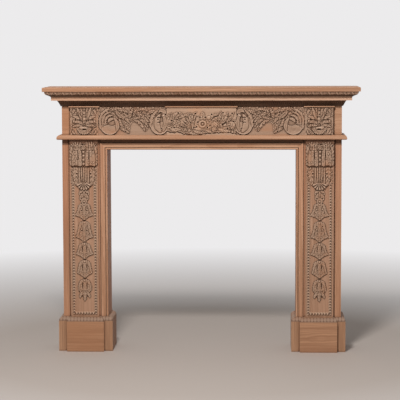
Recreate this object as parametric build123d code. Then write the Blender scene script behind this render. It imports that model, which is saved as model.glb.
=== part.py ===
from build123d import *
import math
import os

os.makedirs("parts", exist_ok=True)

# Driving dimensions, in millimetres.
# The opening, the legs and the boards that they are made of
opening_width = 914.0
opening_height = 982.0
leg_width = 218.0
leg_depth = 190.0
lintel_height = 49.0
board = 20.0

# The beaded slips round the opening and the sunk line beside them
slip_width = 33.0
bead_width = 10.0
bead_quirk = 2.0
slip_quirk = 4.0
quirk_depth = 5.0

# The pilasters
pilaster_width = 136.0
pilaster_offset = 4.0
pilaster_thickness = 10.0
pilaster_sink = 5.0
pilaster_edge = 7.0
side_quirk = 8.0
border_width = 16.0
border_edge = 2.0
border_height = 5.5

# The carved capital
capital_height = 120.0
capital_gap = 9.0
capital_plate = 4.0
capital_relief = 8.0
capital_leaves = 5
capital_leaf_width = 28.0
capital_margin = 8.0
bead_count = 4
bead_radius = 4.0
bead_pitch = 19.0
bead_relief = 2.0

# The husk drop: the tips are shares of the way down the field
drop_gap = 5.0
drop_stem = 7.0
drop_stem_height = 3.0
drop_relief = 7.0
shell_radius = 31.0
shell_drop = 82.0
tier_leaf_length = 74.0
tier_leaf_width = 22.0
tier_leaf_angles = (-122.0, -104.0, -76.0, -58.0)
husk_tip_shares = (0.364, 0.5142, 0.6331, 0.7649, 0.925)
husk_length = 66.0
husk_width = 20.0
husk_side_length = 52.0
husk_side_angle = 44.0

# The plinths
plinth_height = 148.0
plinth_projection = 22.0
plinth_block_width = 180.0
plinth_cap_height = 20.0
plinth_cap_nose = 2.0

# The header, its blocks, tablet and panels
header_height = 190.0
block_width = 134.0
tablet_width = 334.0
block_projection = 12.0
block_relief = 6.0
cap_thickness = 5.0
cap_overhang = 7.0
panel_ground = 4.0
panel_relief = 8.0

# The carving on them
scroll_radius = 42.0
scroll_band = 12.0
scroll_margin = 5.0
arch_leaves = 7
arch_rise = 18.0
arch_leaf_length = 54.0
arch_leaf_width = 26.0
arch_leaf_lean = 35.0
block_leaves = 8
block_leaf_length = 56.0
block_leaf_width = 19.0
leaf_core = 9.0
bowl_radius = 22.0
fan_leaves = 7
fan_leaf_length = 60.0
fan_leaf_width = 19.0
fan_spacing = 84.0
fan_lift = 30.0
fan_spread = 150.0
rosette_radius = 24.0

# The neck moulding
neck_height = 22.0
neck_projection = 25.0
neck_nose = 6.0
neck_foot = 17.0

# The bed moulding
bed_height = 28.0
bed_top = 20.0
bed_fillet = 3.0
bed_cove_foot = 11.0
bed_cove_sink = 1.5
bed_neck = 7.0
bed_neck_height = 10.0
bed_foot = 5.0

# The corona, the ovolo and the shelf: projections are beyond the legs
corona_thickness = 17.0
corona_overhang = 46.0
ovolo_height = 26.0
ovolo_top = 77.0
ovolo_foot = 49.0
ovolo_fillet = 2.0
ovolo_bulge = 1.5
ovolo_back = 20.0
shelf_thickness = 20.0
shelf_overhang = 85.0
shelf_top_round = 4.0
shelf_foot_round = 2.0
packing_width = 45.0

# Hidden carcass pieces and fixings
rail_height = 80.0
rail_margin = 12.0
rib_spacing = 420.0
top_block_height = 30.0
top_block_depth = 90.0
spreader_width = 60.0
spreader_heights = (40.0, 560.0)
glue_block_side = 25.0
glue_block_length = 70.0
glue_block_drops = (211.0, 601.0, 811.0)
screw_radius = 4.0
screw_length = 45.0
screw_head_radius = 6.5
screw_head_height = 5.5
screw_spacing = 90.0
dowel_radius = 4.0
dowel_length = 24.0
dowel_in_block = 9.0
block_dowel_spacing = 70.0
tablet_dowel_spacing = 220.0
wall_hole_radius = 3.25
wall_hole_spacing = 1000.0
fit_gap = 0.1
join_tolerance = 0.1

# Places worked out from them. Depths are measured forward from the back.
inner_x = opening_width / 2
outer_x = inner_x + leg_width
leg_x = inner_x + leg_width / 2
slip_x = inner_x + slip_width
leg_height = opening_height + lintel_height
pilaster_x = leg_x + pilaster_offset
pilaster_in = pilaster_x - pilaster_width / 2
pilaster_out = pilaster_x + pilaster_width / 2
block_in = leg_x - block_width / 2
block_out = leg_x + block_width / 2
carcass_depth = leg_depth - board
shelf_depth = leg_depth + shelf_overhang
pilaster_face = leg_depth + pilaster_thickness
field_face = pilaster_face - pilaster_sink
panel_face = leg_depth + panel_ground
block_face = leg_depth + block_projection
wing_face = leg_depth + plinth_projection
plinth_top = plinth_height + plinth_cap_height
floor_top = leg_height + board
neck_top = leg_height + neck_height
header_top = leg_height + header_height
bed_z = header_top - bed_height
carving_top = bed_z - cap_thickness
carving_z = (neck_top + carving_top) / 2
corona_top = header_top + corona_thickness
shelf_z = corona_top + ovolo_height
shelf_top = shelf_z + shelf_thickness
capital_top = leg_height - capital_gap
capital_foot = capital_top - capital_height
drop_top = capital_foot - drop_gap
field_foot = plinth_top + pilaster_edge + border_width
husk_tips = [(drop_top - field_foot) * share for share in husk_tip_shares]
UP = Vector(0, 0, 1)
FORWARD = Vector(0, -1, 0)


def depth_y(depth):
    """The Y of a plane that lies this far forward of the back."""
    return shelf_depth / 2 - depth


def timber(x0, x1, d0, d1, z0, z1):
    """A squared piece of timber between two limits each way."""
    middle = ((x0 + x1) / 2, depth_y((d0 + d1) / 2), (z0 + z1) / 2)
    return Pos(*middle) * Box(x1 - x0, d1 - d0, z1 - z0)


def front_plane(x, z, depth):
    """A plane that faces the viewer, X to the right and Z up."""
    return Plane(origin=(x, depth_y(depth), z), x_dir=(1, 0, 0), z_dir=FORWARD)


def section(*parts):
    """A closed flat section: points in turn, with arcs given whole between them."""
    edges = []
    last = None
    for part in parts:
        if isinstance(part, Edge):
            start, end = part @ 0, part @ 1
            if last is not None and (last - start).length > join_tolerance:
                edges.append(Line(last, start))
            edges.append(part)
            last = end
        else:
            point = Vector(*part)
            if last is not None:
                edges.append(Line(last, point))
            last = point
    first = edges[0] @ 0
    if (last - first).length > join_tolerance:
        edges.append(Line(last, first))
    return make_face(Curve() + edges)


def mitred_runs(path, rise, profile, reach):
    """One length of moulding for each stretch of the path, mitred where two meet."""
    corners = [Vector(*point) for point in path]
    ways = [(b - a).normalized() for a, b in zip(corners[:-1], corners[1:])]
    runs = []
    for index, way in enumerate(ways):
        start, end = corners[index], corners[index + 1]
        lead = 0 if index == 0 else reach
        tail = 0 if way is ways[-1] else reach
        plane = Plane(origin=start - way * lead, x_dir=rise.cross(way), z_dir=way)
        run = extrude(plane * profile, (end - start).length + lead + tail)
        if lead:
            mitre = Plane(origin=start, z_dir=ways[index - 1] + way)
            run = split(run, bisect_by=mitre, keep=Keep.TOP)
        if tail:
            mitre = Plane(origin=end, z_dir=way + ways[index + 1])
            run = split(run, bisect_by=mitre, keep=Keep.BOTTOM)
        runs.append(run)
    return runs


def header_path(z):
    """The line round the right side, front and left side of the header."""
    back, front = depth_y(0), depth_y(leg_depth)
    return [(outer_x, back, z), (outer_x, front, z), (-outer_x, front, z), (-outer_x, back, z)]


def leaf(x, z, depth, length, width, angle, height):
    """A pointed leaf that starts at the given place and lies along the angle."""
    upper = ThreePointArc((0, 0), (length / 2, width / 2), (length, 0))
    lower = ThreePointArc((length, 0), (length / 2, -width / 2), (0, 0))
    outline = Rot(0, 0, angle) * make_face(Curve() + [upper, lower])
    return extrude(front_plane(x, z, depth) * outline, height)


def boss(x, z, depth, radius, height):
    """A round boss on a carved face."""
    return extrude(front_plane(x, z, depth) * Circle(radius), height)


def spray(x, z, depth, core, angles, size, height):
    """Leaves that spread from a round core."""
    pieces = [boss(x, z, depth, core, height)]
    for angle in angles:
        turn = math.radians(angle)
        place = (x + core / 2 * math.cos(turn), z + core / 2 * math.sin(turn))
        pieces.append(leaf(*place, depth, *size, angle, height))
    return pieces


def scroll(x, z, depth, radius, band, height):
    """The round band of a scroll."""
    return extrude(front_plane(x, z, depth) * (Circle(radius) - Circle(radius - band)), height)


def bored(x, z, depth, radius, length):
    """A peg or hole along the depth, from the given depth towards the front."""
    return extrude(front_plane(x, z, depth) * Circle(radius), length)


def upright(x, depth, z, radius, length):
    """A round peg or hole that stands on the given height."""
    return Pos(x, depth_y(depth), z) * Cylinder(radius, length, align=(Align.CENTER, Align.CENTER, Align.MIN))


def group(pieces):
    """Separate solids kept in one node."""
    return Compound(children=[solid for piece in pieces for solid in piece.solids()])


def save(name, shape):
    """Write one node."""
    export_step(shape, f"parts/{name}.step")


def save_pair(name, right):
    """Write the right-hand piece, and its mirror image for the left."""
    save(f"{name}_right", right)
    save(f"{name}_left", mirror(right, about=Plane.YZ))


def mirrored(pieces):
    """The pieces of the right-hand side with those of the left."""
    return [*pieces, *(mirror(piece, about=Plane.YZ) for piece in pieces)]


# The shelf, with its front and ends rounded, and the rails that pack it off the corona
def mantel_shelf():
    reach = outer_x + shelf_overhang
    slab = timber(-reach, reach, 0, shelf_depth, shelf_z, shelf_top)
    slab = fillet(slab.faces().sort_by(Axis.Z)[-1].edges().sort_by(Axis.Y)[:-1], shelf_top_round)
    return fillet(slab.faces().sort_by(Axis.Z)[0].edges().sort_by(Axis.Y)[:-1], shelf_foot_round)


def packing_rails():
    reach = outer_x + ovolo_back
    front = leg_depth + ovolo_back
    rails = []
    for start in (0, front - packing_width):
        rails.append(timber(-reach, reach, start, start + packing_width, corona_top, shelf_z))
    return group(rails)


def corona_board():
    reach = outer_x + corona_overhang
    return timber(-reach, reach, 0, leg_depth + corona_overhang, header_top, corona_top)


# The mouldings that run round the header
def ovolo_profile():
    top = ovolo_height - ovolo_fillet
    middle = ((ovolo_foot + ovolo_top) / 2 + ovolo_bulge, top / 2 - ovolo_bulge)
    curve = ThreePointArc((ovolo_foot, 0), middle, (ovolo_top, top))
    return section((ovolo_back, 0), curve, (ovolo_top, ovolo_height), (ovolo_back, ovolo_height))


def bed_profile():
    top = bed_height - bed_fillet
    middle = ((bed_cove_foot + bed_top) / 2 - bed_cove_sink, (bed_neck_height + top) / 2 + bed_cove_sink)
    cove = ThreePointArc((bed_cove_foot, bed_neck_height), middle, (bed_top, top))
    return section((0, 0), (bed_foot, 0), (bed_neck, bed_neck_height), cove, (bed_top, bed_height), (0, bed_height))


def neck_profile():
    foot = EllipticalCenterArc((neck_foot, neck_nose), neck_projection - neck_foot, neck_nose,
                               start_angle=-90, arc_size=90)
    slope = (neck_projection - block_projection, neck_height - neck_nose)
    top = EllipticalCenterArc((block_projection, neck_nose), *slope, start_angle=0, arc_size=90)
    return section((0, 0), foot, top, (0, neck_height))


def save_runs(name, runs):
    """Write the lengths that go round the header."""
    for place, run in zip(("right", "front", "left"), runs):
        save(f"{name}_{place}", run)


# The header: a box with a board in front, two ends, a floor and a rail at the back
def dowel_places():
    half = block_dowel_spacing / 2
    beside = [(side * leg_x, carving_z + rise) for side in (-1, 1) for rise in (-half, half)]
    return beside + [(side * tablet_dowel_spacing / 2, carving_z) for side in (-1, 1)]


def dowel_holes():
    length = dowel_length + 2 * fit_gap
    start = leg_depth - (dowel_length - dowel_in_block) - fit_gap
    return [bored(x, z, start, dowel_radius + fit_gap, length) for x, z in dowel_places()]


def dowels():
    start = leg_depth - (dowel_length - dowel_in_block)
    return group([bored(x, z, start, dowel_radius, dowel_length) for x, z in dowel_places()])


def frieze_board():
    face = timber(-outer_x, outer_x, carcass_depth, leg_depth, leg_height, header_top)
    line = timber(block_out, block_out + side_quirk, leg_depth - quirk_depth, leg_depth, leg_height, header_top)
    return face - mirrored([line]) - dowel_holes()


def header_end():
    return timber(outer_x - board, outer_x, 0, carcass_depth, leg_height, header_top)


def screw_places():
    depth = carcass_depth - top_block_depth / 2
    return [(side * (leg_x + half * screw_spacing), depth) for side in (-1, 1) for half in (-0.5, 0.5)]


def header_floor():
    reach = outer_x - board
    floor = timber(-reach, reach, 0, carcass_depth, leg_height, floor_top)
    return floor - [upright(x, d, leg_height, screw_radius + fit_gap, board) for x, d in screw_places()]


def header_back_rail():
    reach = outer_x - board
    top = header_top - rail_margin
    rail = timber(-reach, reach, 0, board, top - rail_height, top)
    middle = top - rail_height / 2
    holes = [bored(side * wall_hole_spacing / 2, middle, 0, wall_hole_radius, board) for side in (-1, 1)]
    return rail - holes


def header_ribs():
    x = rib_spacing / 2
    return group(mirrored([timber(x - board / 2, x + board / 2, board, carcass_depth, floor_top, header_top)]))


# The carved pieces of the frieze
def corner_block():
    body = timber(block_in, block_out, leg_depth, block_face, neck_top, carving_top) - dowel_holes()
    angles = [360 / block_leaves * k for k in range(block_leaves)]
    size = (block_leaf_length, block_leaf_width)
    leaves = spray(leg_x, carving_z, block_face, leaf_core, angles, size, block_relief)
    bowl = boss(leg_x, neck_top + bowl_radius, block_face, bowl_radius, block_relief)
    return body + leaves + bowl


def corner_cap():
    face = block_face + cap_overhang
    return timber(block_in - cap_overhang, block_out + cap_overhang, leg_depth, face, carving_top, bed_z)


def centre_tablet():
    half = tablet_width / 2
    body = timber(-half, half, leg_depth, block_face, neck_top, carving_top) - dowel_holes()
    angles = [90 + fan_spread * (k / (fan_leaves - 1) - 0.5) for k in range(fan_leaves)]
    size = (fan_leaf_length, fan_leaf_width)
    fans = []
    for x in (-fan_spacing, fan_spacing):
        fans += spray(x, neck_top + fan_lift, block_face, leaf_core, angles, size, block_relief)
    rosette = boss(0, carving_z, block_face, rosette_radius, block_relief)
    return body + fans + rosette


def tablet_cap():
    half = tablet_width / 2 + cap_overhang
    return timber(-half, half, leg_depth, block_face + cap_overhang, carving_top, bed_z)


def frieze_panel():
    start = tablet_width / 2
    ground = timber(start, block_in, leg_depth, panel_face, neck_top, carving_top)
    near = start + scroll_margin + scroll_radius
    far = block_in - scroll_margin - scroll_radius
    middle = neck_top + scroll_margin + scroll_radius
    scrolls = [scroll(x, middle, panel_face, scroll_radius, scroll_band, panel_relief) for x in (near, far)]
    leaves = []
    for k in range(arch_leaves):
        share = k / (arch_leaves - 1)
        x = far + (near - far) * share
        z = carving_z + arch_rise * math.sin(math.pi * share)
        angle = 180 - arch_leaf_lean * (1 if k % 2 else -1)
        leaves.append(leaf(x, z, panel_face, arch_leaf_length, arch_leaf_width, angle, panel_relief))
    field = timber(start, block_in, panel_face, panel_face + panel_relief, neck_top, carving_top)
    return ground + ((scrolls[0] + scrolls[1] + leaves) & field)


# The lintel: a rail and a soffit between the legs, under the header
def lintel_rail():
    foot = opening_height + slip_width
    rail = timber(-slip_x, slip_x, carcass_depth, leg_depth, foot, leg_height)
    return rail - timber(-slip_x, slip_x, leg_depth - quirk_depth, leg_depth, foot, foot + slip_quirk)


def lintel_soffit():
    return timber(-inner_x, inner_x, 0, carcass_depth, opening_height, opening_height + board)


def slips():
    radius = bead_width / 2
    low = board - radius
    bead = ThreePointArc((0, low), (radius, board), (bead_width, low))
    edge = bead_width + bead_quirk
    profile = section((0, 0), bead, (edge, low), (edge, board), (slip_width, board), (slip_width, 0))
    y = depth_y(carcass_depth)
    path = [(-inner_x, y, 0), (-inner_x, y, opening_height), (inner_x, y, opening_height), (inner_x, y, 0)]
    return mitred_runs(path, FORWARD, profile, 2 * slip_width)


# The legs: each a box of three boards, open at the back
def leg_front():
    face = timber(slip_x, outer_x, carcass_depth, leg_depth, 0, leg_height)
    back = leg_depth - quirk_depth
    inner_line = timber(slip_x, slip_x + slip_quirk, back, leg_depth, 0, leg_height)
    outer_line = timber(pilaster_out, pilaster_out + side_quirk, back, leg_depth, 0, leg_height)
    return face - inner_line - outer_line


def leg_outer_side():
    return timber(outer_x - board, outer_x, 0, carcass_depth, 0, leg_height)


def leg_inner_side():
    return timber(inner_x, inner_x + board, 0, carcass_depth, 0, leg_height)


def leg_top_block():
    body = timber(inner_x + board, outer_x - board, carcass_depth - top_block_depth, carcass_depth,
                  leg_height - top_block_height, leg_height)
    depth = screw_length - board + fit_gap
    return body - [upright(x, d, leg_height - depth, screw_radius + fit_gap, depth) for x, d in screw_places()]


def leg_spreaders():
    rails = []
    for z in spreader_heights:
        rails.append(timber(inner_x + board, outer_x - board, 0, spreader_width, z, z + board))
    return rails


def leg_screws():
    screws = []
    for x, d in screw_places():
        shank = upright(x, d, floor_top - screw_length, screw_radius, screw_length)
        screws.append(shank + upright(x, d, floor_top, screw_head_radius, screw_head_height))
    return group(screws)


def glue_blocks():
    """Three-cornered blocks behind the front board, against both sides."""
    blocks = []
    back = depth_y(carcass_depth)
    side = glue_block_side
    for x, turn in ((inner_x + board, 1), (outer_x - board, -1)):
        corner = make_face(Polyline((x, back), (x + turn * side, back), (x, back + side), close=True))
        for drop in glue_block_drops:
            blocks.append(extrude(Pos(0, 0, leg_height - drop) * corner, glue_block_length, dir=UP))
    return blocks


# The pilasters with their carved borders, capitals and husk drops
def pilaster_board():
    body = timber(pilaster_in, pilaster_out, leg_depth, pilaster_face, plinth_top, leg_height)
    edge = pilaster_edge
    field = timber(pilaster_in + edge, pilaster_out - edge, field_face, pilaster_face, plinth_top + edge, capital_foot)
    return body - field


def pilaster_border():
    crown = ThreePointArc((0, border_edge), (border_width / 2, border_height), (border_width, border_edge))
    profile = section((0, 0), crown, (border_width, 0))
    y = depth_y(field_face)
    left, right = pilaster_in + pilaster_edge, pilaster_out - pilaster_edge
    foot = plinth_top + pilaster_edge
    path = [(left, y, capital_foot), (left, y, foot), (right, y, foot), (right, y, capital_foot)]
    return group(mitred_runs(path, FORWARD, profile, 2 * border_width))


def capital_carving():
    plate_face = pilaster_face + capital_plate
    top_face = plate_face + capital_relief
    body = timber(pilaster_in, pilaster_out, pilaster_face, plate_face, capital_foot, capital_top)
    foot = capital_foot + capital_margin
    length = capital_height - 2 * capital_margin
    step = (pilaster_width - capital_leaf_width) / (capital_leaves - 1)
    first = pilaster_in + capital_leaf_width / 2
    leaves = [leaf(first + step * k, foot, plate_face, length, capital_leaf_width, 90, capital_relief)
              for k in range(capital_leaves)]
    low = (capital_foot + capital_top - bead_pitch * (bead_count - 1)) / 2
    beads = [boss(pilaster_x, low + bead_pitch * k, top_face, bead_radius, bead_relief) for k in range(bead_count)]
    return body + leaves + beads


def husk_drop():
    half = drop_stem / 2
    stem_face = field_face + drop_stem_height
    body = timber(pilaster_x - half, pilaster_x + half, field_face, stem_face, drop_top - husk_tips[-1], drop_top)
    pieces = [boss(pilaster_x, drop_top - shell_drop, field_face, shell_radius, drop_relief)]
    for angle in tier_leaf_angles:
        pieces.append(leaf(pilaster_x, drop_top, field_face, tier_leaf_length, tier_leaf_width, angle, drop_relief))
    for tip in husk_tips:
        top = drop_top - tip + husk_length
        pieces.append(leaf(pilaster_x, top, field_face, husk_length, husk_width, -90, drop_relief))
        for lean in (-husk_side_angle, husk_side_angle):
            pieces.append(leaf(pilaster_x, top, field_face, husk_side_length, husk_width, lean - 90, drop_relief))
    return body + pieces


# The plinths: boards round the foot of each leg, a block in front and a moulding on top
plinth_in = inner_x - plinth_projection
plinth_out = outer_x + plinth_projection
foot_in = leg_x - plinth_block_width / 2
foot_out = leg_x + plinth_block_width / 2


def plinth_front():
    face = timber(plinth_in, plinth_out, leg_depth, wing_face, 0, plinth_height)
    raised = timber(foot_in + plinth_projection, foot_out - plinth_projection, leg_depth, wing_face,
                    plinth_height, plinth_top)
    return face + raised


def plinth_block():
    return timber(foot_in, foot_out, wing_face, wing_face + plinth_projection, 0, plinth_height)


def plinth_outer_side():
    return timber(outer_x, plinth_out, 0, leg_depth, 0, plinth_height)


def plinth_inner_side():
    return timber(plinth_in, inner_x, 0, leg_depth, 0, plinth_height)


def plinth_moulding():
    rise = plinth_cap_height - plinth_cap_nose
    curve = EllipticalCenterArc((0, plinth_cap_nose), plinth_projection, rise,
                                start_angle=0, arc_size=90)
    profile = section((0, 0), (plinth_projection, 0), curve)
    back, front, wing = depth_y(0), depth_y(leg_depth), depth_y(wing_face)
    near, far = foot_in + plinth_projection, foot_out - plinth_projection
    plan = [(outer_x, back), (outer_x, front), (far, front), (far, wing),
            (near, wing), (near, front), (inner_x, front), (inner_x, back)]
    return group(mitred_runs([(x, y, plinth_height) for x, y in plan], UP, profile, 2 * plinth_projection))


save("mantel_shelf", mantel_shelf())
save("shelf_packing_rails", packing_rails())
save("corona_board", corona_board())
save_runs("shelf_ovolo", mitred_runs(header_path(corona_top), UP, ovolo_profile(), 2 * ovolo_top))
save_runs("bed_moulding", mitred_runs(header_path(bed_z), UP, bed_profile(), 2 * bed_top))
save_runs("neck_moulding", mitred_runs(header_path(leg_height), UP, neck_profile(), 2 * neck_projection))
save("frieze_board", frieze_board())
save_pair("header_end", header_end())
save("header_floor", header_floor())
save("header_back_rail", header_back_rail())
save("header_ribs", header_ribs())
save_pair("corner_block", corner_block())
save_pair("corner_cap", corner_cap())
save("centre_tablet", centre_tablet())
save("tablet_cap", tablet_cap())
save_pair("frieze_panel", frieze_panel())
save("frieze_dowels", dowels())
save("lintel_rail", lintel_rail())
save("lintel_soffit", lintel_soffit())
for place, slip in zip(("left", "head", "right"), slips()):
    save(f"slip_{place}", slip)
save_pair("leg_front", leg_front())
save_pair("leg_outer_side", leg_outer_side())
save_pair("leg_inner_side", leg_inner_side())
save("leg_top_blocks", group(mirrored([leg_top_block()])))
save("leg_spreaders", group(mirrored(leg_spreaders())))
save("leg_screws", leg_screws())
save("glue_blocks", group(mirrored(glue_blocks())))
save_pair("pilaster_board", pilaster_board())
save_pair("pilaster_border", pilaster_border())
save_pair("capital_carving", capital_carving())
save_pair("husk_drop", husk_drop())
save_pair("plinth_front", plinth_front())
save_pair("plinth_block", plinth_block())
save_pair("plinth_outer_side", plinth_outer_side())
save_pair("plinth_inner_side", plinth_inner_side())
save_pair("plinth_moulding", plinth_moulding())
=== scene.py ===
import math
import bmesh
import bpy
import numpy as np
from mathutils import Matrix, Vector


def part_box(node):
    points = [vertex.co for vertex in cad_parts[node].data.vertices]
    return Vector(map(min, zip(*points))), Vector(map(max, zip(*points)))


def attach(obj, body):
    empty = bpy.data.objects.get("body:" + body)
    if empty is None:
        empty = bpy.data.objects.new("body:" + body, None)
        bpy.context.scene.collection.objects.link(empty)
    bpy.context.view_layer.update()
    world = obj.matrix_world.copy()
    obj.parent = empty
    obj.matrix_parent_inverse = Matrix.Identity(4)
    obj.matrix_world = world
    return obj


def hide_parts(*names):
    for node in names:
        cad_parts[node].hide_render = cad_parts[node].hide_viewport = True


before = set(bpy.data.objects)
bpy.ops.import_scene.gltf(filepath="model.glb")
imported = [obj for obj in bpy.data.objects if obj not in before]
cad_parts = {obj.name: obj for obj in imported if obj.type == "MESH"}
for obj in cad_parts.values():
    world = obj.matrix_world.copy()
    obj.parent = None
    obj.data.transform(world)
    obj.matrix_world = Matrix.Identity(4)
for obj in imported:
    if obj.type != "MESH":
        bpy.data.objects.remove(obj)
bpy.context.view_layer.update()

# Legs: each is a box of three pine boards, open at the back. The boards are planed, stained
# to a warm brown and waxed, and their grain runs upwards.
MM = 0.001


def add(tree, kind, sockets=None, **settings):
    """A shader node with its settings, and each socket given a value or joined to another."""
    node = tree.nodes.new(kind)
    for name, value in settings.items():
        setattr(node, name, value)
    for name, value in (sockets or {}).items():
        if isinstance(value, bpy.types.NodeSocket):
            tree.links.new(value, node.inputs[name])
        else:
            node.inputs[name].default_value = value
    return node


def new_finish(name):
    """A finish to be filled in, with its node tree and its shader."""
    made = bpy.data.materials.new(name)
    made.use_nodes = True
    return made, made.node_tree, made.node_tree.nodes["Principled BSDF"]


def paint(red, green, blue):
    """A colour from its usual 0 to 255 values."""
    linear = [((v / 255 + 0.055) / 1.055) ** 2.4 for v in (red, green, blue)]
    return (*linear, 1.0)


def remap(tree, value, low, high, to_low=0.0, to_high=1.0):
    """A value stretched from one span to another, and held inside it."""
    return add(tree, "ShaderNodeMapRange", {"Value": value, "From Min": low, "From Max": high,
                                            "To Min": to_low, "To Max": to_high}).outputs["Result"]


def tint(tree, share, first, second, blend="MIX"):
    """One colour laid over another by a share."""
    node = add(tree, "ShaderNodeMix", data_type="RGBA", blend_type=blend)
    for slot, value in ((0, share), (6, first), (7, second)):
        if isinstance(value, bpy.types.NodeSocket):
            tree.links.new(value, node.inputs[slot])
        else:
            node.inputs[slot].default_value = value
    return node.outputs[2]


def noise(tree, place, scale, detail=3.0, rough=0.5):
    """Cloudy values between nought and one."""
    return add(tree, "ShaderNodeTexNoise", {"Vector": place, "Scale": scale, "Detail": detail,
                                            "Roughness": rough}).outputs["Fac"]


def mapped(tree, place, scale=(1, 1, 1), shift=(0, 0, 0), turn=(0, 0, 0)):
    """A place stretched, moved and turned before a pattern reads it."""
    return add(tree, "ShaderNodeMapping", {"Vector": place, "Scale": scale, "Location": shift,
                                           "Rotation": turn}).outputs["Vector"]


def grain_place(tree, along, heart):
    """Object coordinates turned so that Z runs along the board, measured from the tree's heart."""
    split = add(tree, "ShaderNodeSeparateXYZ",
                {"Vector": add(tree, "ShaderNodeTexCoord").outputs["Object"]}).outputs
    order = {"X": "YZX", "Y": "XZY", "Z": "XYZ"}[along]
    joined = add(tree, "ShaderNodeCombineXYZ", {to: split[axis] for to, axis in zip("XYZ", order)})
    return mapped(tree, joined.outputs["Vector"], shift=(-heart[0], -heart[1], 0.37),
                  turn=(0.012, 0.02, 0))


RING_PITCH = 6.5 * MM
WAVES_PER_METRE = 20 / (2 * math.pi)
# Width of the pale worn edge, which is also a painted edge highlight.
EDGE_WEAR_AND_HIGHLIGHT = 2.2 * MM
# How far under a moulding the painted shadow fades out, and where it is full.
SHADOW_FADES, SHADOW_FULL = 29 * MM, 23 * MM
# Knot colour, the pale colour of worn edges with their painted highlight, and the colour of painted shade and
# shadow.
KNOT, WORN_AND_HIGHLIT, PAINTED_SHADE = (88, 50, 30), (214, 174, 144), (74, 48, 32)


def pine(name, along, heart, pale=(205, 158, 126), dark=(150, 106, 78), patch=(182, 132, 101),
         shade_reach=14 * MM, full_shade_at=0.3, painted_shadow_under=None):
    """Waxed pine: yearly rings cut by the board, streaks, warm patches, knots, pale worn edges that also
    carry a painted highlight, and painted shade in the corners and grooves. Under a moulding, whose height is
    given, it has a painted shadow."""
    made, tree, shader = new_finish(name)
    place = grain_place(tree, along, heart)
    sway = add(tree, "ShaderNodeTexNoise", {"Vector": mapped(tree, place, (5, 5, 1.1)), "Scale": 1.0,
                                            "Detail": 2.0}).outputs["Color"]
    bent = add(tree, "ShaderNodeVectorMath", {0: sway, 1: (0.045, 0.045, 0)}, operation="MULTIPLY")
    place_bent = add(tree, "ShaderNodeVectorMath", {0: place, 1: bent.outputs["Vector"]})
    rings = add(tree, "ShaderNodeTexWave",
                {"Vector": place_bent.outputs["Vector"], "Scale": 1 / (RING_PITCH * WAVES_PER_METRE),
                 "Distortion": 1.2, "Detail": 1.0, "Detail Scale": 0.6},
                wave_type="RINGS", rings_direction="Z", wave_profile="SAW").outputs["Fac"]
    streaks = noise(tree, mapped(tree, place, (42, 42, 1.6)), 1.0, 4.0, 0.6)
    fibres = noise(tree, mapped(tree, place, (620, 620, 16)), 1.0, 2.0)
    patches = noise(tree, mapped(tree, place, (4.2, 4.2, 1.7)), 1.0, 2.0)
    cells = add(tree, "ShaderNodeTexVoronoi", {"Vector": mapped(tree, place, (6.2, 6.2, 2.9)),
                                               "Scale": 1.0})
    chosen = remap(tree, add(tree, "ShaderNodeSeparateColor",
                             {"Color": cells.outputs["Color"]}).outputs["Red"], 0.66, 0.7)
    knots = add(tree, "ShaderNodeMath", {0: remap(tree, cells.outputs["Distance"], 0.09, 0.035), 1: chosen},
                operation="MULTIPLY").outputs["Value"]
    body = tint(tree, remap(tree, rings, 0.35, 1.0, 0.0, 0.55), paint(*pale), paint(*dark))
    body = tint(tree, remap(tree, streaks, 0.42, 0.66, 0.0, 0.6), body, paint(*dark))
    body = tint(tree, remap(tree, patches, 0.46, 0.66, 0.0, 0.75), body, paint(*patch))
    body = tint(tree, remap(tree, fibres, 0.5, 0.8, 0.0, 0.35), body, paint(*dark))
    body = tint(tree, knots, body, paint(*KNOT))
    # Edges are lightened: pale wear, with a painted highlight on every edge.
    rounded = add(tree, "ShaderNodeBevel", {"Radius": EDGE_WEAR_AND_HIGHLIGHT}, samples=4).outputs["Normal"]
    flat = add(tree, "ShaderNodeNewGeometry").outputs["Normal"]
    edge = add(tree, "ShaderNodeVectorMath", {0: rounded, 1: flat}, operation="DOT_PRODUCT").outputs["Value"]
    worn_and_highlit = tint(tree, remap(tree, edge, 0.995, 0.86, 0.0, 0.4), body, paint(*WORN_AND_HIGHLIT))
    # Painted shade: the wood is darkened where ambient occlusion finds corners, grooves and overhangs.
    open_air = add(tree, "ShaderNodeAmbientOcclusion", {"Distance": shade_reach}, samples=6).outputs["AO"]
    shaded = tint(tree, remap(tree, open_air, full_shade_at + 0.52, full_shade_at, 0.0, 0.8), worn_and_highlit, paint(*PAINTED_SHADE))
    # Painted shadow: a dark band on the wood just under the given moulding height.
    if painted_shadow_under:
        object_place = add(tree, "ShaderNodeTexCoord").outputs["Object"]
        height = add(tree, "ShaderNodeSeparateXYZ", {"Vector": object_place}).outputs["Z"]
        shadow_share = remap(tree, height, painted_shadow_under - SHADOW_FADES, painted_shadow_under - SHADOW_FULL, 0.0, 0.72)
        shaded = tint(tree, shadow_share, shaded, paint(*PAINTED_SHADE))
    tree.links.new(shaded, shader.inputs["Base Color"])
    gloss = remap(tree, streaks, 0.3, 0.7, 0.5, 0.66)
    tree.links.new(gloss, shader.inputs["Roughness"])
    shader.inputs["Specular IOR Level"].default_value = 0.22
    relief = add(tree, "ShaderNodeMath", {0: rings, 1: fibres}, operation="ADD").outputs["Value"]
    bump = add(tree, "ShaderNodeBump", {"Height": relief, "Strength": 0.35, "Distance": 0.25 * MM})
    tree.links.new(bump.outputs["Normal"], shader.inputs["Normal"])
    return made


def dress(finish, *names):
    """Give a CAD node its finish."""
    for name in names:
        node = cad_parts[name]
        node.data.materials.clear()
        node.data.materials.append(finish)


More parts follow.
